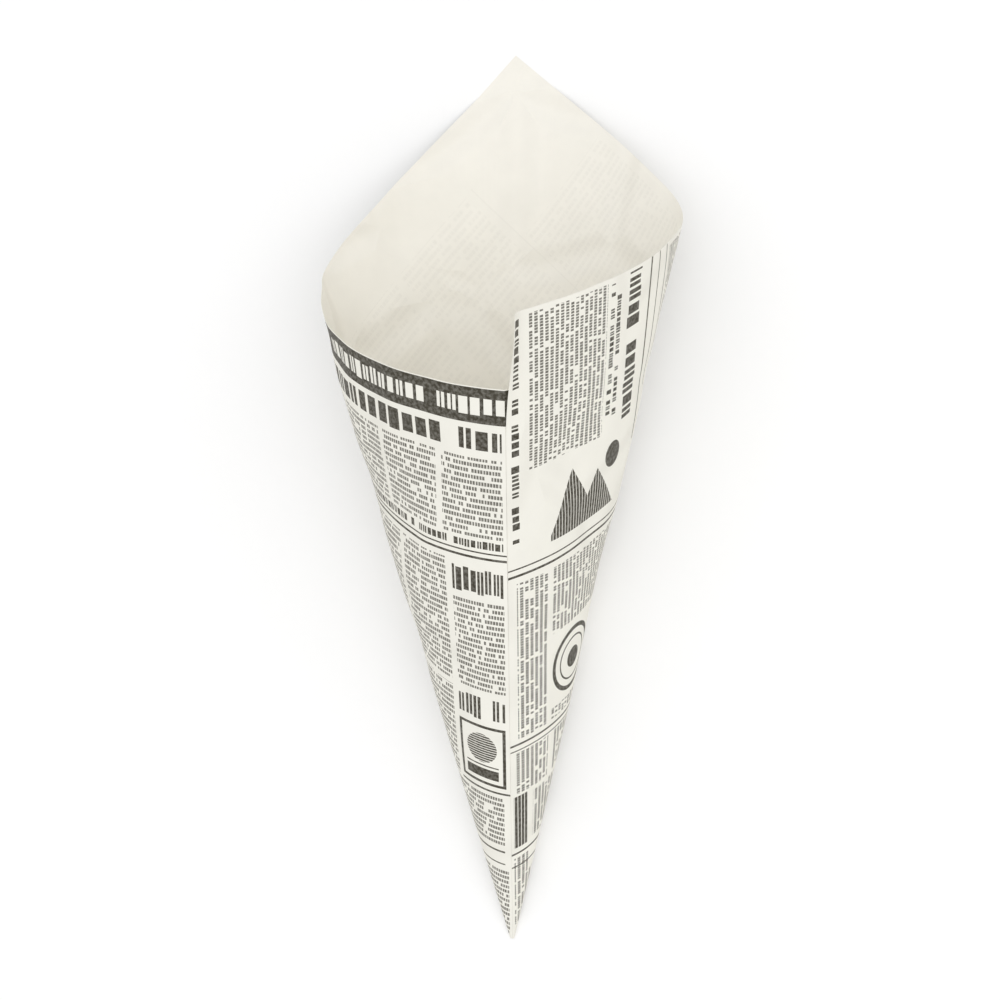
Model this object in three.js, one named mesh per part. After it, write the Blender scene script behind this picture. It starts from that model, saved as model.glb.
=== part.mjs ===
// Paper cone for takeaway food: one sheet of printed greaseproof paper, rolled to a point and lapped.
// Millimetres, +Z up. The cone lies on its side: tip towards -Y, mouth towards +Y, lap seam on top.
import * as THREE from 'three';

// The flat sheet. Lengths run from the corner that becomes the tip, angles are in degrees of the flat sheet.
const RIGHT_EDGE = 220;       // side edge that stays in view, up to the flap corner; the right rim is square to it
const LEFT_EDGE = 198;        // the left face beside the seam, up to the left rim, which is square to it too
const LAP_ANGLE = 6;          // strip of the sheet that is glued under the visible side edge
const TIP_TRIM = 2.5;         // cut off the tip corner, which leaves a pin hole
const PAPER = 0.1;            // thickness of the paper
const GLUE = 0.05;            // glue line between the two layers of the lap

// The rolled section, drawn square to the axis at one height above the tip.
const SECTION_HEIGHT = 200;
const LEFT_HALF_WIDTH = 51;
const RIGHT_HALF_WIDTH = 50;
const HALF_DEPTH = 54;
const LEFT_RIDGE = 13.5;      // how far the left face is flattened towards the ridge under the seam
const RIGHT_RIDGE = 32;       // the same on the right face, which is nearly flat
const RIGHT_SHOULDER = 3.5;   // how much squarer the right face turns at its back
const FLAT_ANGLE = 5;         // flat panel right of the back crease, on which the cone lies

// Finish and mesh.
const PAPER_COLOUR = 0xf3efe6;
const CURVE_STEPS = 400;      // points on each half of the section
const STRIP_ANGLE = 0.8;      // widest strip of the rolled sheet
const ROWS = 6;               // rows of faces from the tip to the rim
const LIFT_CLEAR = 2;         // the flap stays lifted this far past the lap
const LIFT_EASE = 10;         // and then comes down to the single sheet over this angle

const radians = THREE.MathUtils.degToRad;

// One half of the section, from the front ridge round to the back crease.
class HalfSection extends THREE.Curve {
  constructor(side, halfWidth, ridge, shoulder) {
    super();
    this.side = side;
    this.halfWidth = halfWidth;
    this.ridge = ridge;
    this.shoulder = shoulder;
  }

  getPoint(t, target = new THREE.Vector3()) {
    const turn = Math.PI * t;
    const x = this.side * (this.halfWidth * Math.sin(turn) + this.shoulder * Math.sin(2 * turn));
    const pinch = Math.sin(turn) * (1 + Math.cos(turn)) / 2;
    const y = this.ridge * pinch - HALF_DEPTH * Math.cos(turn);
    return target.set(x, y, SECTION_HEIGHT);
  }
}

// Straight lines of the cone surface as unit vectors from the apex, with the sheet angle at each.
function rollSheet() {
  const right = new HalfSection(1, RIGHT_HALF_WIDTH, RIGHT_RIDGE, RIGHT_SHOULDER).getPoints(CURVE_STEPS);
  const left = new HalfSection(-1, LEFT_HALF_WIDTH, LEFT_RIDGE, 0).getPoints(CURVE_STEPS).reverse();
  const lines = [...right, ...left.slice(1)].map((point) => point.normalize());
  const back = lines[CURVE_STEPS];
  const inFlat = (line, i) => i < CURVE_STEPS && line.angleTo(back) < radians(FLAT_ANGLE);
  const kept = lines.filter((line, i) => !inFlat(line, i));
  const angles = [0];
  for (let i = 1; i < kept.length; i += 1) {
    angles.push(angles[i - 1] + kept[i - 1].angleTo(kept[i]));
  }
  return { lines: kept, angles, round: angles.at(-1), back: angles[kept.indexOf(back)] };
}

// The line of the surface at one sheet angle. Past the full turn the sheet goes round again, under the flap.
function lineAt(roll, sheetAngle) {
  const angle = sheetAngle > roll.round ? sheetAngle - roll.round : sheetAngle;
  let i = 1;
  while (i < roll.angles.length - 1 && roll.angles[i] < angle) {
    i += 1;
  }
  const span = roll.angles[i] - roll.angles[i - 1];
  const share = (angle - roll.angles[i - 1]) / span;
  return roll.lines[i - 1].clone().lerp(roll.lines[i], share).normalize();
}

// Sheet angles of the strips: creases, sheet corner and flat panel get a line of their own.
function stripAngles(roll) {
  const lap = radians(LAP_ANGLE);
  const corner = peakAngle(roll);
  const flat = roll.back - flatSpan(roll);
  const stops = [0, lap, flat, corner, roll.back, roll.round, roll.round + lap];
  stops.sort((a, b) => a - b);
  const angles = [0];
  for (let i = 1; i < stops.length; i += 1) {
    const width = stops[i] - stops[i - 1];
    const flatStrip = stops[i - 1] >= flat - 1e-9 && stops[i] <= roll.back + 1e-9;
    const steps = flatStrip ? 1 : Math.ceil(width / radians(STRIP_ANGLE));
    for (let k = 1; k <= steps; k += 1) {
      angles.push(stops[i - 1] + width * k / steps);
    }
  }
  return angles;
}

// Sheet angle across the flat panel, as its two edge lines have it.
function flatSpan(roll) {
  const i = roll.angles.indexOf(roll.back);
  return roll.back - roll.angles[i - 1];
}

// Sheet angle of the peak, where the left and the right rim meet.
function peakAngle(roll) {
  const across = LEFT_EDGE - RIGHT_EDGE * Math.cos(roll.round);
  return Math.atan2(across, RIGHT_EDGE * Math.sin(roll.round));
}

// Distance from the apex to the rim along the sheet: two straight cut edges that meet at the peak.
function rimAt(roll, angle) {
  if (angle < peakAngle(roll)) {
    return RIGHT_EDGE / Math.cos(angle);
  }
  return LEFT_EDGE / Math.cos(roll.round - angle);
}

// How far a strip stands off the lower layer: the flap lies on the lap and eases down beyond it.
function liftAt(angle) {
  const start = radians(LAP_ANGLE + LIFT_CLEAR);
  const end = start + radians(LIFT_EASE);
  return (PAPER + GLUE) * (1 - THREE.MathUtils.smoothstep(angle, start, end));
}

// Offset that moves two neighbouring strips outwards by one unit and keeps both flat.
function mitre(before, after) {
  const sum = before.clone().add(after);
  return sum.multiplyScalar(2 / sum.lengthSq());
}

function coneGeometry(roll) {
  const angles = stripAngles(roll);
  const lines = angles.map((angle) => lineAt(roll, angle));
  const normals = lines.slice(1).map((line, i) => line.clone().cross(lines[i]).normalize());
  const columns = lines.length;
  const perColumn = 2 * (ROWS + 1);
  const positions = [];
  lines.forEach((line, i) => {
    const before = normals[Math.max(i - 1, 0)];
    const after = normals[Math.min(i, normals.length - 1)];
    const outward = mitre(before, after);
    const rim = rimAt(roll, angles[i]);
    const lift = liftAt(angles[i]);
    for (const height of [lift, lift + PAPER]) {
      for (let row = 0; row <= ROWS; row += 1) {
        const along = TIP_TRIM + (rim - TIP_TRIM) * row / ROWS;
        const point = line.clone().multiplyScalar(along).addScaledVector(outward, height);
        positions.push(point.x, point.y, point.z);
      }
    }
  });

  const inner = (column, row) => column * perColumn + row;
  const outer = (column, row) => inner(column, row) + ROWS + 1;
  const index = [];
  const quad = (a, b, c, d) => index.push(a, b, c, a, c, d);
  for (let i = 0; i + 1 < columns; i += 1) {
    for (let row = 0; row < ROWS; row += 1) {
      quad(outer(i, row), outer(i + 1, row), outer(i + 1, row + 1), outer(i, row + 1));
      quad(inner(i, row), inner(i, row + 1), inner(i + 1, row + 1), inner(i + 1, row));
    }
    quad(inner(i, 0), inner(i + 1, 0), outer(i + 1, 0), outer(i, 0));
    quad(outer(i, ROWS), outer(i + 1, ROWS), inner(i + 1, ROWS), inner(i, ROWS));
  }
  const last = columns - 1;
  for (let row = 0; row < ROWS; row += 1) {
    quad(inner(0, row), outer(0, row), outer(0, row + 1), inner(0, row + 1));
    quad(inner(last, row), inner(last, row + 1), outer(last, row + 1), outer(last, row));
  }

  const geometry = new THREE.BufferGeometry();
  geometry.setAttribute('position', new THREE.Float32BufferAttribute(positions, 3));
  geometry.setIndex(index);
  geometry.computeVertexNormals();
  return geometry;
}

// Turns the upright cone so that its flat back panel is level and underneath.
function layOnBack(mesh, roll) {
  const flatStart = lineAt(roll, roll.back - flatSpan(roll));
  const flatEnd = lineAt(roll, roll.back);
  const up = flatStart.clone().cross(flatEnd).normalize();
  const axis = new THREE.Vector3(0, 0, 1);
  const along = axis.addScaledVector(up, -axis.dot(up)).normalize();
  const across = along.clone().cross(up);
  const turn = new THREE.Matrix4().makeBasis(across, along, up).transpose();
  mesh.quaternion.setFromRotationMatrix(turn);
  mesh.updateMatrixWorld(true);
  const box = new THREE.Box3().setFromObject(mesh, true);
  const middle = box.getCenter(new THREE.Vector3());
  mesh.position.set(-middle.x, -middle.y, -box.min.z);
}

const roll = rollSheet();
const paper = new THREE.MeshStandardMaterial({
  color: PAPER_COLOUR,
  roughness: 0.85,
  metalness: 0,
  side: THREE.DoubleSide,
});
const cone = new THREE.Mesh(coneGeometry(roll), paper);
cone.name = 'paper_cone';
layOnBack(cone, roll);

const part = new THREE.Group();
part.name = 'paper_cone_part';
part.add(cone);

export default part;
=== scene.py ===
"""Paper cone for takeaway food: one sheet of printed greaseproof paper, rolled to a point and lapped."""

import math
from bisect import bisect_left
from functools import partial, reduce

import bpy
from bpy.props import FloatProperty, FloatVectorProperty, IntProperty, PointerProperty
from mathutils import Euler, Matrix, Vector


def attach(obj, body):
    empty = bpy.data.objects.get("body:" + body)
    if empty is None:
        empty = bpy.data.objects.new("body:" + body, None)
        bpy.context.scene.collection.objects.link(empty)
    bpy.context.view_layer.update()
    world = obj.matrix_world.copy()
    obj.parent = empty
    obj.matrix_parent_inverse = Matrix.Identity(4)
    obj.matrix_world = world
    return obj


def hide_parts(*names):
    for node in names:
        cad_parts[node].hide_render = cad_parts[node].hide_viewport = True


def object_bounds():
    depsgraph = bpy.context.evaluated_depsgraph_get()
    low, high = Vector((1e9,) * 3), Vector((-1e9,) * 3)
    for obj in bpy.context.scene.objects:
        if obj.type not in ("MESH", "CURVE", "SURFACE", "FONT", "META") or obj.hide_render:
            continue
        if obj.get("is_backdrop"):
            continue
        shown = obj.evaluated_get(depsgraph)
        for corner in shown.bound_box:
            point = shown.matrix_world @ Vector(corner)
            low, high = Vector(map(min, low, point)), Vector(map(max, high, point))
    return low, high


bl_info = {
    "name": "Paper Cone",
    "version": (1, 0, 0),
    "blender": (4, 5, 0),
    "location": "View3D > Sidebar > Paper Cone",
    "description": "Rolls a printed sheet of greaseproof paper to a cone and sets a plain studio round it",
    "category": "Add Mesh",
}

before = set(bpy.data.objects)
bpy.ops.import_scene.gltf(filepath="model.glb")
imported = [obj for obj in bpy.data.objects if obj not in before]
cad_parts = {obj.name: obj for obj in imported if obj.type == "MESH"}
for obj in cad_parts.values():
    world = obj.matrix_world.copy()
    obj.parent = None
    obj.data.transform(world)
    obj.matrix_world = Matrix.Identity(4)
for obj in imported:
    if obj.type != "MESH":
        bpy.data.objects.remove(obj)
CAD_LOW, CAD_HIGH = (Vector(corner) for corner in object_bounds())
NODE = "paper_cone"
BODY = "root"
PRINT_PLACE = "sheet_mm"
MM = 0.001

# The rolled section, drawn square to the axis at one height above the apex.
SECTION_STEPS = 400
SECTION_HEIGHT = 200 * MM
LEFT_HALF_WIDTH = 51 * MM
RIGHT_HALF_WIDTH = 50 * MM
HALF_DEPTH = 54 * MM
LEFT_RIDGE = 13.5 * MM
RIGHT_RIDGE = 32 * MM
RIGHT_SHOULDER = 3.5 * MM
FLAT_ANGLE = math.radians(5)

# Where the lifted flap comes down, and how far dents keep off the ridge, the flat panel and the tip.
LIFT_CLEAR = math.radians(2)
LIFT_EASE = math.radians(10)
CALM_RIDGE = math.radians(9)
CALM_FLAT = math.radians(7)
CALM_TIP = (40 * MM, 190 * MM)
DENTS_PER_METRE = 21.0
DENT_DETAIL = 1.6
DENT_SWELL = (0.42, 0.68)
SHARP_BEND = math.radians(25)
LEAST_COSINE = 0.001
LEAST_CURL = 0.0001
WELD = 0.002 * MM
# The print runs square to the right edge up to the first angle, and square to the left edge past the second.
PRINT_TURN = (math.radians(25), math.radians(62))

# The camera of the photograph, from the apex of the cone.
CAMERA_FROM_APEX = Vector((94.9, 129.2, 565.0)) * MM
CAMERA_TILT = math.radians(1.73)
CAMERA_LEAN = math.radians(10.17)
CAMERA_TURN = math.radians(1.03)
SENSOR_WIDTH = 36.0
LENS = 62.9
NEAREST_SEEN = 0.01

# The stage, in metres. The floor lies a hair under the flat panel, so that the two never share a plane.
FLOOR_HALF = 3.0
FLOOR_LEVEL = CAD_LOW.z - 0.02 * MM
FLOOR_ROUGHNESS = 0.9
KEY_PLACE = (0.3, -0.15, 1.0)
KEY_SIZE = 0.9

# Fields of the print in millimetres on the flat sheet: from and to along the right edge, then low and high
# along the left edge. Small type runs in rows along the right edge.
TEXT_FIELDS = (
    (1.0, 20.2, 150.6, 176.0), (22.4, 43.0, 150.6, 176.0), (45.0, 66.0, 150.6, 176.0),
    (68.0, 88.0, 112.0, 176.0), (1.0, 17.6, 97.5, 129.5), (20.0, 39.0, 97.5, 141.5),
    (41.0, 64.0, 97.5, 141.5), (20.0, 39.0, 60.0, 95.5),
    (41.0, 64.0, 62.0, 95.5), (2.0, 30.0, 39.5, 58.5), (0.8, 27.0, 4.0, 30.0), (171.0, 218.6, 8.0, 38.5),
    (80.5, 135.5, 3.0, 15.5), (112.0, 135.5, 17.0, 58.0), (80.5, 84.5, 17.0, 58.0),
    (142.0, 218.6, 75.0, 92.0), (90.0, 138.0, 62.0, 92.0), (90.0, 130.0, 95.0, 124.0),
    (133.0, 172.0, 95.0, 124.0),
    (176.0, 216.0, 102.0, 124.0), (90.0, 130.0, 127.0, 152.0), (133.0, 172.0, 127.0, 176.0),
    (176.0, 216.0, 127.0, 152.0), (90.0, 130.0, 161.0, 176.0), (176.0, 216.0, 155.0, 176.0),
    (40.0, 58.0, 9.0, 28.0), (60.0, 75.5, 1.5, 16.0), (60.0, 75.5, 19.0, 40.0), (66.0, 75.5, 44.0, 90.0),
    (8.0, 35.0, 1.0, 7.0), (40.0, 62.0, 31.0, 58.0), (80.5, 88.0, 62.0, 108.0),
)
# Larger lines of bars, with the width of a bar as the last number.
HEADLINES = (
    (1.0, 216.0, 177.6, 185.8, 5.0),    # strip under the band
    (1.0, 17.6, 130.8, 140.8, 2.4),     # tall line on the left face
    (1.0, 17.6, 86.2, 95.6, 3.1),       # line over the picture
    (1.0, 64.0, 146.6, 149.8, 1.9),     # small line over the double rule
    (149.0, 219.4, 1.4, 4.6, 2.6),      # caption beside the seam
    (171.0, 219.0, 48.0, 56.0, 4.2),    # large line on the right face
    (176.0, 218.0, 39.8, 42.2, 1.7),
    (176.0, 214.0, 42.8, 45.2, 1.7),
    (176.0, 216.0, 94.0, 101.0, 4.0),   # on the back
    (90.0, 130.0, 153.2, 160.0, 3.4),
)
RULES = (
    (0.0, 66.0, 143.4, 144.2), (0.0, 66.0, 145.4, 145.9), (0.0, 18.6, 60.0, 60.7),
    (2.0, 37.0, 37.2, 37.9), (2.0, 33.0, 32.4, 32.9), (160.0, 220.0, 60.6, 61.4),
    (176.0, 220.0, 66.2, 66.7), (176.0, 220.0, 72.0, 72.5), (90.0, 130.0, 93.2, 93.6),
    (133.0, 216.0, 125.4, 125.8), (137.7, 138.5, 0.0, 72.0), (140.2, 140.7, 0.0, 72.0),
    (78.2, 78.9, 0.0, 60.0), (76.2, 76.6, 0.0, 60.0), (36.4, 37.1, 0.0, 36.0), (31.4, 31.9, 0.0, 31.0),
    (88.8, 89.2, 62.0, 176.6), (174.0, 174.4, 94.0, 176.6),
)
BAND = (-5.0, 230.0, 186.9, 197.7)
BAND_BAR_WIDTH = 3.6
PICTURE_OUTER = (1.2, 17.8, 62.4, 84.6)
PICTURE_INNER = (2.2, 16.8, 63.4, 83.6)
PICTURE_BARS = ((3.6, 15.4, 64.8, 68.4), (3.6, 15.4, 69.3, 69.8))
HILLS = (145.0, 167.0, 16.0, 49.0)
STRIPED_BAR = (39.0, 59.0, 1.0, 6.4)
# Circles: the middle along the right and the left edge, the radius, and half the width of the line.
PICTURE_DISC = (9.5, 76.0, 0.0, 5.4)
HILLS_DISC = (162.5, 45.0, 0.0, 4.2)
RINGS = ((98.0, 29.0, 10.6, 0.75), (98.0, 29.0, 7.4, 0.3), (98.0, 29.0, 0.0, 3.6))
# Hills: place along the left edge, height, and fall per millimetre to the side.
HILL_SHAPES = ((26.0, 20.0, 1.8), (37.0, 16.0, 1.5))
# Stripes: pitch in millimetres, and the share of it that is inked.
PICTURE_STRIPES = (0.9, 0.7)
HILL_STRIPES = (1.3, 0.82)
BAR_STRIPES = (1.35, 0.8)
SHOWN_THROUGH = (
    (66.0, 88.0, 96.0, 176.0), (90.0, 130.0, 60.0, 124.0), (133.0, 171.0, 60.0, 176.0),
    (176.0, 216.0, 62.0, 152.0), (90.0, 130.0, 127.0, 176.0), (171.0, 218.0, 8.0, 38.0),
)
# Bars of set type: width and row pitch in millimetres, then as shares of them the bar's width, its foot and
# top, and how far a tall or deep bar reaches past them, and last the chance of an upright slit in a bar.
# Headlines and the band bring a width and a pitch of their own.
SMALL_TYPE = (0.88, 1.9, 0.84, 0.17, 0.79, 0.0, 0.0)
SEEN_THROUGH_TYPE = (1.6, 2.4, 0.94, 0.2, 0.74, 0.0, 0.0)
HEADLINE_SHAPE = (0.84, 0.12, 0.84, 0.07, 0.5)
BAND_SHAPE = (0.8, 0.28, 0.72, 0.05, 0.5)
# How the bars vary, as chances and as shares of a bar's width.
ROW_SHIFT = 3.37
WORD_GAP_CHANCE = 0.13
NARROWEST = 0.76
TALL_FROM = 0.62
DEEP_FROM = 0.84
SLIT_HALF = 0.07
# Seeds of the bars.
TYPE_SEED = 1.0
BAND_SEED = 3.0
HEADLINE_SEED = 10
# Ink: the share of small type, how thin the coat gets outside and seen through, and patches per millimetre.
SMALL_TYPE_INK = 0.88
THIN_COAT = 0.84
THIN_SEEN_THROUGH = 0.4
COAT_PER_MM = 0.9
COAT_RANGE = (0.3, 0.6)

# Paper: patterns per metre, the darkest fibre cloud, and the relief of soft creases and of the grain.
CLOUDS_PER_METRE = 90.0
CLOUD_RANGE = (0.3, 0.7)
CLOUD_TONE = 0.965
CREASES_PER_METRE = 23.0
CREASE_WIDTH = 0.15
CREASE_RELIEF = (0.8, 1.2 * MM)
GRAIN_PER_METRE = 900.0
GRAIN_RELIEF = (0.06, 0.05 * MM)
PAPER_IOR = 1.5
# Finishes: how strongly the ink covers, and the roughness.
PRINTED_FINISH = (1.0, 0.62)
INSIDE_FINISH = (0.045, 0.66)
EDGE_FINISH = (0.0, 0.8)


def linear(hex_colour):
    """An sRGB hex colour as linear RGBA."""
    channels = [int(hex_colour[i:i + 2], 16) / 255 for i in (1, 3, 5)]
    bent = [c / 12.92 if c <= 0.04045 else ((c + 0.055) / 1.055) ** 2.4 for c in channels]
    return (*bent, 1.0)


def add_node(tree, kind, *values, **settings):
    """Adds a node with its settings. Values fill its inputs in order, or by name from one dict.

    A value is a number, a socket, or another node, which stands for its first output.
    """
    node = tree.nodes.new(kind)
    for name, value in settings.items():
        setattr(node, name, value)
    named = values[0] if values and isinstance(values[0], dict) else dict(enumerate(values))
    for key, value in named.items():
        source = value.outputs[0] if isinstance(value, bpy.types.Node) else value
        if isinstance(source, bpy.types.NodeSocket):
            tree.links.new(source, node.inputs[key])
        else:
            node.inputs[key].default_value = source
    return node


class PaperConeSheet(bpy.types.PropertyGroup):
    """Sizes and colours of the sheet."""

    right_edge: FloatProperty(
        name="Right edge", description="Visible side edge, from the apex to the flap corner",
        default=220 * MM, min=0.05, unit="LENGTH")
    left_edge: FloatProperty(
        name="Left edge", description="Left face beside the seam, from the apex to the rim",
        default=198 * MM, min=0.05, unit="LENGTH")
    lap_angle: FloatProperty(
        name="Lap", description="Strip of the sheet that is glued under the visible side edge",
        default=math.radians(6), min=0.0, subtype="ANGLE")
    tip_trim: FloatProperty(
        name="Tip trim", description="Length cut off the tip corner",
        default=2.5 * MM, min=0.0005, unit="LENGTH")
    thickness: FloatProperty(
        name="Thickness", description="Thickness of the paper",
        default=0.1 * MM, min=0.00002, unit="LENGTH")
    glue: FloatProperty(
        name="Glue line", description="Gap between the two layers of the lap",
        default=0.05 * MM, min=0.0, unit="LENGTH")
    dents: FloatProperty(
        name="Dents", description="How far the wall sinks in its softest places",
        default=1.7 * MM, min=0.0, unit="LENGTH")
    curl_width: FloatProperty(
        name="Curl width", description="Strip along the visible side edge that curls up at the flap corner",
        default=6 * MM, min=0.0005, unit="LENGTH")
    curl_angle: FloatProperty(
        name="Curl", description="How far the flap corner turns up",
        default=math.radians(70), subtype="ANGLE")
    curl_from: FloatProperty(
        name="Curl from", description="Distance from the apex where the side edge starts to turn up",
        default=182 * MM, unit="LENGTH")
    columns: IntProperty(
        name="Columns", description="Straight lines round the cone, without the lap", default=440, min=40)
    rows: IntProperty(name="Rows", description="Points from the tip to the rim", default=96, min=8)
    paper: FloatVectorProperty(
        name="Paper", description="Printed side of the paper", subtype="COLOR", size=4,
        default=linear("#f1efe6"), min=0.0, max=1.0)
    # The inside colour is the paper's own cream, painted lighter than the printed side as a painted lift
    # against the shade inside the cone.
    inside: FloatVectorProperty(
        name="Inside", description="Unprinted side of the paper", subtype="COLOR", size=4,
        default=linear("#f8f5ec"), min=0.0, max=1.0)
    ink: FloatVectorProperty(
        name="Ink", description="Printing ink", subtype="COLOR", size=4,
        default=linear("#332d1c"), min=0.0, max=1.0)


class PaperConeStage(bpy.types.PropertyGroup):
    """Light and floor."""

    floor: FloatVectorProperty(
        name="Floor", description="Colour of the floor as the camera sees it", subtype="COLOR", size=4,
        default=linear("#ffffff"), min=0.0, max=1.0)
    board: FloatVectorProperty(
        name="Board", description="Colour of the floor in the light that it throws back",
        subtype="COLOR", size=4, default=linear("#e6e4df"), min=0.0, max=1.0)
    key: FloatProperty(
        name="Key light", description="Power of the large soft light", default=2.2, min=0.0, unit="POWER")
    sky: FloatProperty(name="Sky light", description="Even light from all round", default=0.9, min=0.0)


def half_section(side, half_width, ridge, shoulder):
    """Half of the section, from the front ridge round to the back crease."""
    points = []
    for step in range(SECTION_STEPS + 1):
        turn = math.pi * step / SECTION_STEPS
        x = side * (half_width * math.sin(turn) + shoulder * math.sin(2 * turn))
        pinch = math.sin(turn) * (1 + math.cos(turn)) / 2
        y = ridge * pinch - HALF_DEPTH * math.cos(turn)
        points.append(Vector((x, y, SECTION_HEIGHT)).normalized())
    return points


class RolledSheet:
    """Straight lines of the cone as unit vectors from the apex, spaced by the angle of the flat sheet."""

    def __init__(self):
        right = half_section(1, RIGHT_HALF_WIDTH, RIGHT_RIDGE, RIGHT_SHOULDER)
        left = half_section(-1, LEFT_HALF_WIDTH, LEFT_RIDGE, 0)[::-1]
        back = right[-1]
        right = [line for line in right[:-1] if line.angle(back) >= FLAT_ANGLE] + [back]
        self.lines = right + left[1:]
        self.angles = [0.0]
        for before, after in zip(self.lines, self.lines[1:]):
            self.angles.append(self.angles[-1] + before.angle(after))
        self.round = self.angles[-1]
        self.flat = (self.angles[len(right) - 2], self.angles[len(right) - 1])
        up = right[-2].cross(right[-1]).normalized()
        along = (Vector((0, 0, 1)) - up * up.z).normalized()
        self.laid = Matrix((along.cross(up), along, up)).to_4x4()

    def peak(self, sheet):
        """Sheet angle of the corner where the two rims meet."""
        across = sheet.left_edge - sheet.right_edge * math.cos(self.round)
        return math.atan2(across, sheet.right_edge * math.sin(self.round))

    def line_at(self, angle):
        """The line at one sheet angle."""
        i = max(bisect_left(self.angles, angle), 1)
        share = (angle - self.angles[i - 1]) / (self.angles[i] - self.angles[i - 1])
        return self.lines[i - 1].lerp(self.lines[i], share).normalized()

    def placed(self, sheet):
        """Matrix that lays the cone down where the solid lies."""
        peak = self.peak(sheet)
        points = []
        for angle in [*self.angles, peak]:
            if angle <= peak:
                edge = sheet.right_edge / math.cos(angle)
            else:
                edge = sheet.left_edge / math.cos(self.round - angle)
            points.append(self.laid @ (self.line_at(angle) * edge))
            points.append(self.laid @ (self.line_at(angle) * sheet.tip_trim))
        low = Vector([min(point[i] for point in points) for i in range(3)])
        high = Vector([max(point[i] for point in points) for i in range(3)])
        shift = (CAD_LOW + CAD_HIGH) / 2 - (low + high) / 2
        return Matrix.Translation((shift.x, shift.y, CAD_LOW.z + sheet.thickness)) @ self.laid


ROLL = RolledSheet()


def sheet_sizes(sheet):
    """The named inputs of the sheet's tree."""
    return {
        "Right edge": sheet.right_edge,
        "Left edge": sheet.left_edge,
        "Full turn": ROLL.round,
        "Lap angle": sheet.lap_angle,
        "Peak angle": ROLL.peak(sheet),
        "Flat from": ROLL.flat[0],
        "Flat to": ROLL.flat[1],
        "Tip trim": sheet.tip_trim,
        "Thickness": sheet.thickness,
        "Lift": sheet.thickness + sheet.glue,
        "Dents": sheet.dents,
        "Curl width": sheet.curl_width,
        "Curl": sheet.curl_angle,
        "Curl from": sheet.curl_from,
        "Columns": sheet.columns,
        "Rows": sheet.rows,
    }


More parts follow.
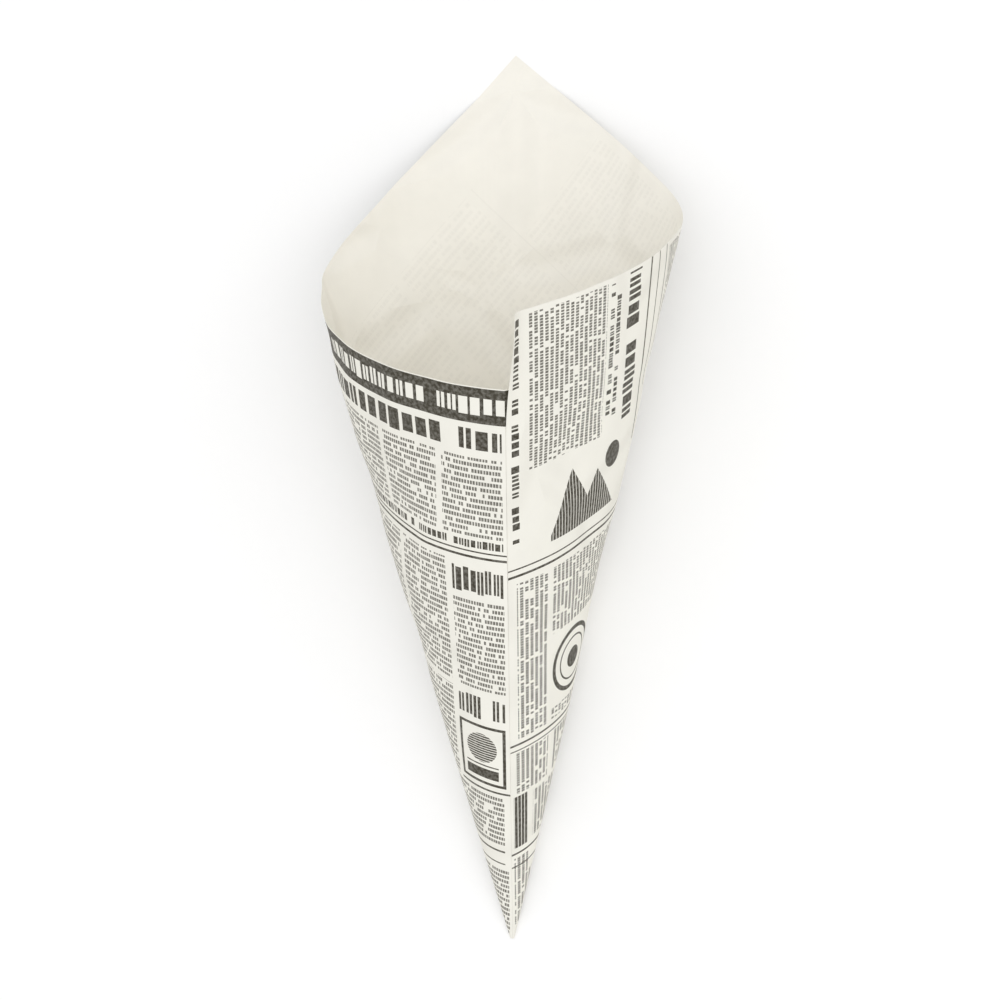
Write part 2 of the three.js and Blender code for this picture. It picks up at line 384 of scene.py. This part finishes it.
def sheet_tree(sizes, finishes):
    """Geometry Nodes: rolls a flat sheet over the curve of line directions, and gives it sides and edges."""
    tree = bpy.data.node_groups.new("Rolled paper sheet", "GeometryNodeTree")
    tree.interface.new_socket("Geometry", in_out="INPUT", socket_type="NodeSocketGeometry")
    for name, value in sizes.items():
        kind = "NodeSocketInt" if isinstance(value, int) else "NodeSocketFloat"
        tree.interface.new_socket(name, in_out="INPUT", socket_type=kind)
    tree.interface.new_socket("Geometry", in_out="OUTPUT", socket_type="NodeSocketGeometry")
    node = partial(add_node, tree)
    given = node("NodeGroupInput").outputs

    # A flat grid. A column is a line from the apex, one step of sheet angle each, and the lap adds its own.
    step = node("ShaderNodeMath", given["Full turn"], given["Columns"], operation="DIVIDE")
    lap = node("ShaderNodeMath", given["Lap angle"], step, operation="DIVIDE")
    lap_steps = node("ShaderNodeMath", lap, operation="CEIL")
    steps = node("ShaderNodeMath", given["Columns"], lap_steps, operation="ADD")
    line_count = node("ShaderNodeMath", steps, 1.0, operation="ADD")
    grid = node("GeometryNodeMeshGrid", 1.0, 1.0, line_count, given["Rows"])
    place = node("ShaderNodeSeparateXYZ", node("GeometryNodeInputPosition"))
    across_share = node("ShaderNodeMath", place.outputs["X"], 0.5, operation="ADD")
    share = node("ShaderNodeMath", place.outputs["Y"], 0.5, operation="ADD")
    across = node("ShaderNodeMath", across_share, steps, operation="MULTIPLY")
    column = node("ShaderNodeMath", across, operation="ROUND")
    even_angle = node("ShaderNodeMath", column, step, operation="MULTIPLY")

    # The column nearest the peak moves onto it, so that the corner stays sharp.
    miss = node("ShaderNodeMath", given["Peak angle"], even_angle, operation="SUBTRACT")
    half_step = node("ShaderNodeMath", step, 0.5, operation="MULTIPLY")
    near = node("ShaderNodeMath", miss, 0.0, half_step, operation="COMPARE")
    angle = node("ShaderNodeMath", near, miss, even_angle, operation="MULTIPLY_ADD")
    last_column = node("ShaderNodeMath", given["Columns"], 0.5, operation="ADD")
    past = node("ShaderNodeMath", column, last_column, operation="GREATER_THAN")
    back_turn = node("ShaderNodeMath", past, given["Full turn"], operation="MULTIPLY")
    wrapped = node("ShaderNodeMath", angle, back_turn, operation="SUBTRACT")

    directrix = node("GeometryNodeMeshToCurve", given["Geometry"])
    sample = node("GeometryNodeSampleCurve", {"Curves": directrix, "Length": wrapped},
                  mode="LENGTH", data_type="FLOAT", use_all_curves=True)
    line = node("ShaderNodeVectorMath", sample.outputs["Position"], operation="NORMALIZE")
    square = node("ShaderNodeVectorMath", sample.outputs["Tangent"], line, operation="CROSS_PRODUCT")
    outward = node("ShaderNodeVectorMath", square, operation="NORMALIZE")

    # Distance from the apex: two straight cut edges that meet at the peak.
    turn_left = node("ShaderNodeMath", given["Full turn"], angle, operation="SUBTRACT")
    cos_angle = node("ShaderNodeMath", angle, operation="COSINE")
    cos_right = node("ShaderNodeMath", cos_angle, LEAST_COSINE, operation="MAXIMUM")
    cos_left = node("ShaderNodeMath", turn_left, operation="COSINE")
    right_rim = node("ShaderNodeMath", given["Right edge"], cos_right, operation="DIVIDE")
    left_rim = node("ShaderNodeMath", given["Left edge"], cos_left, operation="DIVIDE")
    rim = node("ShaderNodeMath", right_rim, left_rim, operation="MINIMUM")
    span = node("ShaderNodeMath", rim, given["Tip trim"], operation="SUBTRACT")
    distance = node("ShaderNodeMath", span, share, given["Tip trim"], operation="MULTIPLY_ADD")
    base = node("ShaderNodeVectorMath", {0: line, "Scale": distance}, operation="SCALE")

    # The flap lies on the lap and eases down beyond it.
    ease_from = node("ShaderNodeMath", given["Lap angle"], LIFT_CLEAR, operation="ADD")
    ease_to = node("ShaderNodeMath", ease_from, LIFT_EASE, operation="ADD")
    lift = node("ShaderNodeMapRange", angle, ease_from, ease_to, given["Lift"], 0.0,
                interpolation_type="SMOOTHSTEP")

    # Soft dents sink into the wall towards the rim, and leave ridge, flat panel and tip alone.
    noise = node("ShaderNodeTexNoise", {"Vector": base, "Scale": DENTS_PER_METRE, "Detail": DENT_DETAIL})
    swell = node("ShaderNodeMapRange", noise, *DENT_SWELL, 0.0, 1.0, interpolation_type="SMOOTHSTEP")
    far_up = node("ShaderNodeMapRange", distance, *CALM_TIP, 0.0, 1.0, interpolation_type="SMOOTHSTEP")
    to_end = node("ShaderNodeMath", given["Full turn"], wrapped, operation="SUBTRACT")
    from_ridge = node("ShaderNodeMath", wrapped, to_end, operation="MINIMUM")
    off_ridge = node("ShaderNodeMapRange", from_ridge, 0.0, CALM_RIDGE, 0.0, 1.0,
                     interpolation_type="SMOOTHSTEP")
    before_flat = node("ShaderNodeMath", given["Flat from"], wrapped, operation="SUBTRACT")
    after_flat = node("ShaderNodeMath", wrapped, given["Flat to"], operation="SUBTRACT")
    from_flat = node("ShaderNodeMath", before_flat, after_flat, operation="MAXIMUM")
    off_flat = node("ShaderNodeMapRange", from_flat, 0.0, CALM_FLAT, 0.0, 1.0,
                    interpolation_type="SMOOTHSTEP")
    sink = given["Dents"]
    for mask in (swell, far_up, off_ridge, off_flat):
        sink = node("ShaderNodeMath", sink, mask, operation="MULTIPLY")

    # The free corner of the flap curls up along an arc, and its strip keeps its width.
    sine_angle = node("ShaderNodeMath", angle, operation="SINE")
    off_edge = node("ShaderNodeMath", distance, sine_angle, operation="MULTIPLY")
    curled = node("ShaderNodeMath", given["Curl width"], off_edge, operation="SUBTRACT")
    arc = node("ShaderNodeMath", curled, 0.0, operation="MAXIMUM")
    curl_share = node("ShaderNodeMapRange", distance, given["Curl from"], given["Right edge"],
                      LEAST_CURL, 1.0, interpolation_type="SMOOTHSTEP")
    curl = node("ShaderNodeMath", given["Curl"], curl_share, operation="MULTIPLY")
    bend_rate = node("ShaderNodeMath", curl, given["Curl width"], operation="DIVIDE")
    turned = node("ShaderNodeMath", arc, bend_rate, operation="MULTIPLY")
    sine = node("ShaderNodeMath", turned, operation="SINE")
    cosine = node("ShaderNodeMath", turned, operation="COSINE")
    reach = node("ShaderNodeMath", sine, bend_rate, operation="DIVIDE")
    drawn_in = node("ShaderNodeMath", arc, reach, operation="SUBTRACT")
    versine = node("ShaderNodeMath", 1.0, cosine, operation="SUBTRACT")
    raised = node("ShaderNodeMath", versine, bend_rate, operation="DIVIDE")

    height = node("ShaderNodeMath", lift, sink, operation="SUBTRACT")
    for extra in (given["Thickness"], raised):
        height = node("ShaderNodeMath", height, extra, operation="ADD")
    offset = node("ShaderNodeVectorMath", {0: outward, "Scale": height}, operation="SCALE")
    sideways = node("ShaderNodeVectorMath", {0: sample.outputs["Tangent"], "Scale": drawn_in},
                    operation="SCALE")
    moved = node("ShaderNodeVectorMath", offset, sideways, operation="ADD")
    rolled = node("ShaderNodeVectorMath", base, moved, operation="ADD")

    # The print's place on the sheet in millimetres: along the right edge, and along the left edge.
    turn_print = node("ShaderNodeMapRange", angle, *PRINT_TURN, 0.0, 1.0, interpolation_type="SMOOTHSTEP")
    distance_mm = node("ShaderNodeMath", distance, MM, operation="DIVIDE")
    places = []
    for right_kind, left_kind in (("COSINE", "SINE"), ("SINE", "COSINE")):
        right_turn = node("ShaderNodeMath", angle, operation=right_kind)
        left_turn = node("ShaderNodeMath", turn_left, operation=left_kind)
        mixed = node("ShaderNodeMix", {"Factor": turn_print, "A": right_turn, "B": left_turn})
        places.append(node("ShaderNodeMath", distance_mm, mixed, operation="MULTIPLY"))
    sheet_place = node("ShaderNodeCombineXYZ", *places, angle)
    stored = node("GeometryNodeStoreNamedAttribute", {
        "Geometry": grid, "Name": PRINT_PLACE, "Value": sheet_place},
        data_type="FLOAT_VECTOR", domain="POINT")
    shaped = node("GeometryNodeSetPosition", {"Geometry": stored, "Position": rolled})

    # The inner side and the cut edges are an extrusion of the printed side, turned to face out.
    normal = node("GeometryNodeInputNormal")
    inwards = node("ShaderNodeVectorMath", {0: normal, "Scale": -1.0}, operation="SCALE")
    layer = node("GeometryNodeExtrudeMesh", {
        "Mesh": shaped, "Offset": inwards, "Offset Scale": given["Thickness"], "Individual": False},
        mode="FACES")
    joined = node("GeometryNodeJoinGeometry", node("GeometryNodeFlipFaces", layer))
    tree.links.new(shaped.outputs[0], joined.inputs[0])
    closed = node("GeometryNodeMergeByDistance", {"Geometry": joined, "Distance": WELD})
    smooth = node("GeometryNodeSetShadeSmooth", {"Geometry": closed, "Shade Smooth": True}, domain="FACE")
    bend = node("GeometryNodeInputMeshEdgeAngle")
    sharp = node("ShaderNodeMath", bend.outputs["Unsigned Angle"], SHARP_BEND, operation="GREATER_THAN")
    creased = node("GeometryNodeSetShadeSmooth", {
        "Geometry": smooth, "Selection": sharp, "Shade Smooth": False}, domain="EDGE")
    real = node("GeometryNodeRealizeInstances", creased)
    printed = node("GeometryNodeSetMaterial", {"Geometry": real, "Material": finishes["printed"]})
    inner = node("GeometryNodeSetMaterial", {
        "Geometry": printed, "Selection": layer.outputs["Top"], "Material": finishes["inside"]})
    cut = node("GeometryNodeSetMaterial", {
        "Geometry": inner, "Selection": layer.outputs["Side"], "Material": finishes["edge"]})
    node("NodeGroupOutput", cut)
    return tree


def field_group():
    """Shader group: 1 inside a rectangle of the print."""
    tree = bpy.data.node_groups.new("Print field", "ShaderNodeTree")
    for name in ("Reading", "Row", "From", "To", "Low", "High"):
        tree.interface.new_socket(name, in_out="INPUT", socket_type="NodeSocketFloat")
    tree.interface.new_socket("Inside", in_out="OUTPUT", socket_type="NodeSocketFloat")
    node = partial(add_node, tree)
    given = node("NodeGroupInput").outputs
    inside = 1.0
    for more, less in (("Reading", "From"), ("To", "Reading"), ("Row", "Low"), ("High", "Row")):
        test = node("ShaderNodeMath", given[more], given[less], operation="GREATER_THAN")
        inside = node("ShaderNodeMath", inside, test, operation="MULTIPLY")
    node("NodeGroupOutput", inside)
    return tree


def type_group():
    """Shader group: rows of small plain bars that stand for set type, in words of random length."""
    tree = bpy.data.node_groups.new("Set type", "ShaderNodeTree")
    for name in ("Reading", "Row", "Bar width", "Row pitch", "Bar share", "Foot", "Top", "Reach",
                 "Slit chance", "Seed"):
        tree.interface.new_socket(name, in_out="INPUT", socket_type="NodeSocketFloat")
    tree.interface.new_socket("Ink", in_out="OUTPUT", socket_type="NodeSocketFloat")
    node = partial(add_node, tree)
    given = node("NodeGroupInput").outputs
    row = node("ShaderNodeMath", given["Row"], given["Row pitch"], operation="DIVIDE")
    row_number = node("ShaderNodeMath", row, operation="FLOOR")
    row_place = node("ShaderNodeMath", row, operation="FRACT")
    bar = node("ShaderNodeMath", given["Reading"], given["Bar width"], operation="DIVIDE")
    shifted = node("ShaderNodeMath", row_number, ROW_SHIFT, bar, operation="MULTIPLY_ADD")
    bar_number = node("ShaderNodeMath", shifted, operation="FLOOR")
    bar_place = node("ShaderNodeMath", shifted, operation="FRACT")
    key = node("ShaderNodeCombineXYZ", bar_number, row_number, given["Seed"])
    chance = node("ShaderNodeTexWhiteNoise", {"Vector": key}, noise_dimensions="3D")
    parts = node("ShaderNodeSeparateColor", chance.outputs["Color"])

    # A gap between words, bars of uneven width, and where the shape asks for them tall, deep and slit bars.
    word = node("ShaderNodeMath", chance.outputs["Value"], WORD_GAP_CHANCE, operation="GREATER_THAN")
    narrowed = node("ShaderNodeMapRange", parts.outputs[1], 0.0, 1.0, NARROWEST, 1.0)
    bar_share = node("ShaderNodeMath", given["Bar share"], narrowed, operation="MULTIPLY")
    width = node("ShaderNodeMath", bar_place, bar_share, operation="LESS_THAN")
    tall = node("ShaderNodeMath", parts.outputs[0], TALL_FROM, operation="GREATER_THAN")
    deep = node("ShaderNodeMath", parts.outputs[1], DEEP_FROM, operation="GREATER_THAN")
    top = node("ShaderNodeMath", tall, given["Reach"], given["Top"], operation="MULTIPLY_ADD")
    drop = node("ShaderNodeMath", deep, given["Reach"], operation="MULTIPLY")
    foot = node("ShaderNodeMath", given["Foot"], drop, operation="SUBTRACT")
    below = node("ShaderNodeMath", row_place, top, operation="LESS_THAN")
    above = node("ShaderNodeMath", row_place, foot, operation="GREATER_THAN")
    middle = node("ShaderNodeMath", bar_share, 0.5, operation="MULTIPLY")
    slit_place = node("ShaderNodeMath", bar_place, middle, SLIT_HALF, operation="COMPARE")
    slit_chance = node("ShaderNodeMath", parts.outputs[2], given["Slit chance"], operation="LESS_THAN")
    slit = node("ShaderNodeMath", slit_place, slit_chance, operation="MULTIPLY")
    ink = node("ShaderNodeMath", 1.0, slit, operation="SUBTRACT")
    for mask in (word, width, below, above):
        ink = node("ShaderNodeMath", ink, mask, operation="MULTIPLY")
    node("NodeGroupOutput", ink)
    return tree


class Layout:
    """A shader group that draws the print by its place on the flat sheet, in millimetres."""

    def __init__(self, name, field, bars):
        self.tree = bpy.data.node_groups.new(name, "ShaderNodeTree")
        self.tree.interface.new_socket("Ink", in_out="OUTPUT", socket_type="NodeSocketFloat")
        self.node = partial(add_node, self.tree)
        self.field = field
        self.bars = bars
        place = self.node("ShaderNodeAttribute", attribute_name=PRINT_PLACE)
        split = self.node("ShaderNodeSeparateXYZ", place.outputs["Vector"])
        self.reading = split.outputs["X"]
        self.row = split.outputs["Y"]
        self.flat = self.node("ShaderNodeCombineXYZ", self.reading, self.row)

    def cover(self, *areas):
        """1 inside any of the rectangles."""
        return self.overlay([
            self.node("ShaderNodeGroup", self.reading, self.row, *area, node_tree=self.field)
            for area in areas])

    def overlay(self, masks):
        """All masks laid over each other."""
        return reduce(lambda one, other: self.node("ShaderNodeMath", one, other, operation="MAXIMUM"), masks)

    def type_rows(self, low, *look):
        """Rows of bars, counted from one row of the sheet."""
        row = self.node("ShaderNodeMath", self.row, low, operation="SUBTRACT")
        return self.node("ShaderNodeGroup", self.reading, row, *look, node_tree=self.bars)

    def hatched(self, mask, pitch, share):
        """A mask cut into stripes along the right edge."""
        row = self.node("ShaderNodeMath", self.row, pitch, operation="DIVIDE")
        row_place = self.node("ShaderNodeMath", row, operation="FRACT")
        stripe = self.node("ShaderNodeMath", row_place, share, operation="LESS_THAN")
        return self.node("ShaderNodeMath", mask, stripe, operation="MULTIPLY")

    def ring(self, reading, row, radius, half_width):
        """A circle's line. A disc is a ring whose line is as wide as its radius."""
        away = self.node("ShaderNodeVectorMath", self.flat, (reading, row, 0.0), operation="DISTANCE")
        return self.node("ShaderNodeMath", away.outputs["Value"], radius, half_width, operation="COMPARE")

    def hill(self, row, height, slope):
        """A peak that stands on the low side of the hills' field."""
        off = self.node("ShaderNodeMath", self.row, row, operation="SUBTRACT")
        aside = self.node("ShaderNodeMath", off, operation="ABSOLUTE")
        top = self.node("ShaderNodeMath", aside, -slope, HILLS[0] + height, operation="MULTIPLY_ADD")
        below = self.node("ShaderNodeMath", self.reading, top, operation="LESS_THAN")
        return self.node("ShaderNodeMath", below, self.cover(HILLS), operation="MULTIPLY")

    def finish(self, ink, thinnest):
        """Ends the group with ink that sits a little uneven on the paper."""
        coat = self.node("ShaderNodeTexNoise", {"Vector": self.flat, "Scale": COAT_PER_MM, "Detail": 3.0})
        thin = self.node("ShaderNodeMapRange", coat, *COAT_RANGE, thinnest, 1.0)
        self.node("NodeGroupOutput", self.node("ShaderNodeMath", ink, thin, operation="MULTIPLY"))
        return self.tree


def printed_layout(field, bars):
    """The newsprint look of the outside: plain fields, bars, rules and simple shapes."""
    sheet = Layout("Newsprint layout", field, bars)
    inks = [sheet.cover(*RULES)]
    small_type = sheet.type_rows(0.0, *SMALL_TYPE, TYPE_SEED)
    text = sheet.node("ShaderNodeMath", sheet.cover(*TEXT_FIELDS), small_type, operation="MULTIPLY")
    inks.append(sheet.node("ShaderNodeMath", text, SMALL_TYPE_INK, operation="MULTIPLY"))
    for seed, (start, end, low, high, width) in enumerate(HEADLINES, HEADLINE_SEED):
        line = sheet.type_rows(low, width, high - low, *HEADLINE_SHAPE, float(seed))
        area = sheet.cover((start, end, low, high))
        inks.append(sheet.node("ShaderNodeMath", area, line, operation="MULTIPLY"))

    # The dark band under the left rim with pale bars in it, and the frame of the picture under the left line.
    pale_bars = sheet.type_rows(BAND[2], BAND_BAR_WIDTH, BAND[3] - BAND[2], *BAND_SHAPE, BAND_SEED)
    inks.append(sheet.node("ShaderNodeMath", sheet.cover(BAND), pale_bars, operation="GREATER_THAN"))
    inks.append(sheet.node("ShaderNodeMath", sheet.cover(PICTURE_OUTER), sheet.cover(PICTURE_INNER),
                           operation="GREATER_THAN"))
    inks.append(sheet.hatched(sheet.ring(*PICTURE_DISC), *PICTURE_STRIPES))
    inks.append(sheet.cover(*PICTURE_BARS))

    # Two hatched hills and a disc on the right face, and rings round a dot below them.
    hills = sheet.overlay([sheet.hill(*shape) for shape in HILL_SHAPES])
    inks.append(sheet.hatched(hills, *HILL_STRIPES))
    inks += [sheet.ring(*circle) for circle in (HILLS_DISC, *RINGS)]
    inks.append(sheet.hatched(sheet.cover(STRIPED_BAR), *BAR_STRIPES))
    return sheet.finish(sheet.overlay(inks), THIN_COAT)


def show_through_layout(field, bars):
    """What shows of the print on the unprinted side: soft rows of bars, and the rules."""
    sheet = Layout("Print seen through the paper", field, bars)
    rows = sheet.type_rows(0.0, *SEEN_THROUGH_TYPE, TYPE_SEED)
    ink = sheet.node("ShaderNodeMath", sheet.cover(*SHOWN_THROUGH), rows, operation="MULTIPLY")
    return sheet.finish(sheet.overlay([ink, sheet.cover(*RULES)]), THIN_SEEN_THROUGH)


def paper_material(name, shade, ink, layout, strength, roughness):
    """Greaseproof paper, beaten hard and calendered: dense and smooth, matt with a faint sheen.

    Fibre clouds of about 10 mm vary the tone, and soft creases about 40 mm apart come from handling. A grain
    of about 1 mm, coarser than real fibres so that it shows, roughens the surface.
    """
    material = bpy.data.materials.new(name)
    material.use_nodes = True
    tree = material.node_tree
    tree.nodes.clear()
    node = partial(add_node, tree)
    place = node("ShaderNodeTexCoord").outputs["Object"]
    cloud = node("ShaderNodeTexNoise", {
        "Vector": place, "Scale": CLOUDS_PER_METRE, "Detail": 4.0, "Roughness": 0.6})
    tone = node("ShaderNodeMapRange", cloud, *CLOUD_RANGE, CLOUD_TONE, 1.0)
    colour = node("ShaderNodeVectorMath", {0: shade[:3], "Scale": tone}, operation="SCALE").outputs[0]
    if layout:
        print_ink = node("ShaderNodeGroup", node_tree=layout)
        amount = node("ShaderNodeMath", print_ink, strength, operation="MULTIPLY")
        mixed = node("ShaderNodeMix", data_type="RGBA")
        tree.links.new(amount.outputs[0], mixed.inputs["Factor"])
        tree.links.new(colour, mixed.inputs["A"])
        mixed.inputs["B"].default_value = ink[:]
        colour = mixed.outputs["Result"]
    folds = node("ShaderNodeTexVoronoi", {"Vector": place, "Scale": CREASES_PER_METRE},
                 feature="DISTANCE_TO_EDGE")
    crease = node("ShaderNodeMapRange", folds, 0.0, CREASE_WIDTH, 0.0, 1.0, interpolation_type="SMOOTHSTEP")
    soft = node("ShaderNodeBump", {
        "Height": crease, "Strength": CREASE_RELIEF[0], "Distance": CREASE_RELIEF[1]})
    grain = node("ShaderNodeTexNoise", {"Vector": place, "Scale": GRAIN_PER_METRE, "Detail": 3.0})
    bump = node("ShaderNodeBump", {
        "Height": grain, "Strength": GRAIN_RELIEF[0], "Distance": GRAIN_RELIEF[1], "Normal": soft})
    shader = node("ShaderNodeBsdfPrincipled", {
        "Base Color": colour, "Normal": bump, "Roughness": roughness, "IOR": PAPER_IOR})
    node("ShaderNodeOutputMaterial", shader)
    return material


class PAPERCONE_OT_sheet(bpy.types.Operator):
    """Roll the printed sheet and let it stand for the plain solid"""

    bl_idname = "papercone.sheet"
    bl_label = "Roll the sheet"

    def execute(self, context):
        sheet = context.scene.paper_cone_sheet
        field = field_group()
        bars = type_group()
        outside = printed_layout(field, bars)
        seen_through = show_through_layout(field, bars)
        finishes = {
            "printed": paper_material(
                "Greaseproof paper printed", sheet.paper, sheet.ink, outside, *PRINTED_FINISH),
            # The inside material takes the inside colour, painted lighter than the printed side against the
            # shade inside the cone, with the print seen through.
            "inside": paper_material(
                "Greaseproof paper inside", sheet.inside, sheet.ink, seen_through, *INSIDE_FINISH),
            "edge": paper_material("Greaseproof paper cut edge", sheet.paper, sheet.ink, None, *EDGE_FINISH),
        }
        sizes = sheet_sizes(sheet)
        directrix = bpy.data.meshes.new("Line directions")
        directrix.from_pydata(ROLL.lines, [(i, i + 1) for i in range(len(ROLL.lines) - 1)], [])
        former = bpy.data.objects.new("Line directions", directrix)
        context.scene.collection.objects.link(former)
        modifier = former.modifiers.new("Rolled paper sheet", "NODES")
        modifier.node_group = sheet_tree(sizes, finishes)
        for item in modifier.node_group.interface.items_tree:
            if item.in_out == "INPUT" and item.name in sizes:
                modifier[item.identifier] = sizes[item.name]
        context.view_layer.update()
        depsgraph = context.evaluated_depsgraph_get()
        mesh = bpy.data.meshes.new_from_object(former.evaluated_get(depsgraph), depsgraph=depsgraph)
        former.modifiers.remove(modifier)
        bpy.data.objects.remove(former)
        if not mesh.polygons:
            raise RuntimeError("the sheet has no faces")
        mesh.transform(ROLL.placed(sheet))
        piece = bpy.data.objects.new("rolled_sheet", mesh)
        context.scene.collection.objects.link(piece)
        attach(piece, BODY)
        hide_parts(NODE)
        return {"FINISHED"}


def floor_material(stage):
    """Matt white board. The camera sees it pure white where no shadow falls."""
    material = bpy.data.materials.new("Matt white board")
    material.use_nodes = True
    tree = material.node_tree
    node = partial(add_node, tree)
    rays = node("ShaderNodeLightPath").outputs
    seen = rays["Is Camera Ray"]
    for ray in ("Is Glossy Ray", "Is Transmission Ray"):
        seen = node("ShaderNodeMath", seen, rays[ray], operation="MAXIMUM")
    mixed = node("ShaderNodeMix", data_type="RGBA")
    tree.links.new(seen.outputs[0], mixed.inputs["Factor"])
    mixed.inputs["A"].default_value = stage.board[:]
    mixed.inputs["B"].default_value = stage.floor[:]
    shader = tree.nodes["Principled BSDF"]
    shader.inputs["Roughness"].default_value = FLOOR_ROUGHNESS
    shader.inputs["Specular IOR Level"].default_value = 0.0
    tree.links.new(mixed.outputs["Result"], shader.inputs["Base Color"])
    return material


class PAPERCONE_OT_stage(bpy.types.Operator):
    """Set the floor, the lights and the camera"""

    bl_idname = "papercone.stage"
    bl_label = "Set the stage"

    def execute(self, context):
        stage = context.scene.paper_cone_stage
        scene = context.scene
        scene.view_settings.view_transform = "Standard"
        mesh = bpy.data.meshes.new("Floor")
        signs = ((-1, -1), (1, -1), (1, 1), (-1, 1))
        corners = [(x * FLOOR_HALF, y * FLOOR_HALF, FLOOR_LEVEL) for x, y in signs]
        mesh.from_pydata(corners, [], [(0, 1, 2, 3)])
        mesh.materials.append(floor_material(stage))
        floor = bpy.data.objects.new("floor", mesh)
        scene.collection.objects.link(floor)
        floor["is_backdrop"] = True

        world = bpy.data.worlds.new("Studio")
        world.use_nodes = True
        sky = world.node_tree.nodes["Background"]
        sky.inputs["Color"].default_value = linear("#ffffff")
        node = partial(add_node, world.node_tree)
        seen = node("ShaderNodeLightPath").outputs["Is Camera Ray"]
        level = node("ShaderNodeMix", {"Factor": seen, "A": stage.sky, "B": 1.0})
        world.node_tree.links.new(level.outputs[0], sky.inputs["Strength"])
        scene.world = world

        light = bpy.data.lights.new("Key light", "AREA")
        light.size = KEY_SIZE
        light.energy = stage.key
        lamp = bpy.data.objects.new("Key light", light)
        lamp.location = KEY_PLACE
        middle = (CAD_LOW + CAD_HIGH) / 2
        lamp.rotation_euler = (middle - Vector(KEY_PLACE)).to_track_quat("-Z", "Y").to_euler()
        scene.collection.objects.link(lamp)

        data = bpy.data.cameras.new("Camera")
        data.sensor_width = SENSOR_WIDTH
        data.sensor_fit = "HORIZONTAL"
        data.lens = LENS
        data.clip_start = NEAREST_SEEN
        camera = bpy.data.objects.new("Camera", data)
        camera.location = ROLL.placed(scene.paper_cone_sheet).translation + CAMERA_FROM_APEX
        camera.rotation_euler = Euler((CAMERA_TILT, CAMERA_LEAN, CAMERA_TURN), "XYZ")
        scene.collection.objects.link(camera)
        scene.camera = camera
        return {"FINISHED"}


class PAPERCONE_PT_panel(bpy.types.Panel):
    """The paper cone's pieces and sizes"""

    bl_label = "Paper Cone"
    bl_idname = "PAPERCONE_PT_panel"
    bl_space_type = "VIEW_3D"
    bl_region_type = "UI"
    bl_category = "Paper Cone"

    def draw(self, context):
        column = self.layout.column()
        for group in (context.scene.paper_cone_sheet, context.scene.paper_cone_stage):
            for name in group.__annotations__:
                column.prop(group, name)
        column.operator(PAPERCONE_OT_sheet.bl_idname)
        column.operator(PAPERCONE_OT_stage.bl_idname)


CLASSES = (PaperConeSheet, PaperConeStage, PAPERCONE_OT_sheet, PAPERCONE_OT_stage, PAPERCONE_PT_panel)


def register():
    for cls in CLASSES:
        bpy.utils.register_class(cls)
    bpy.types.Scene.paper_cone_sheet = PointerProperty(type=PaperConeSheet)
    bpy.types.Scene.paper_cone_stage = PointerProperty(type=PaperConeStage)


def unregister():
    del bpy.types.Scene.paper_cone_stage
    del bpy.types.Scene.paper_cone_sheet
    for cls in reversed(CLASSES):
        bpy.utils.unregister_class(cls)


def main():
    register()
    bpy.ops.papercone.stage()
    bpy.ops.papercone.sheet()


if __name__ == "__main__":
    main()
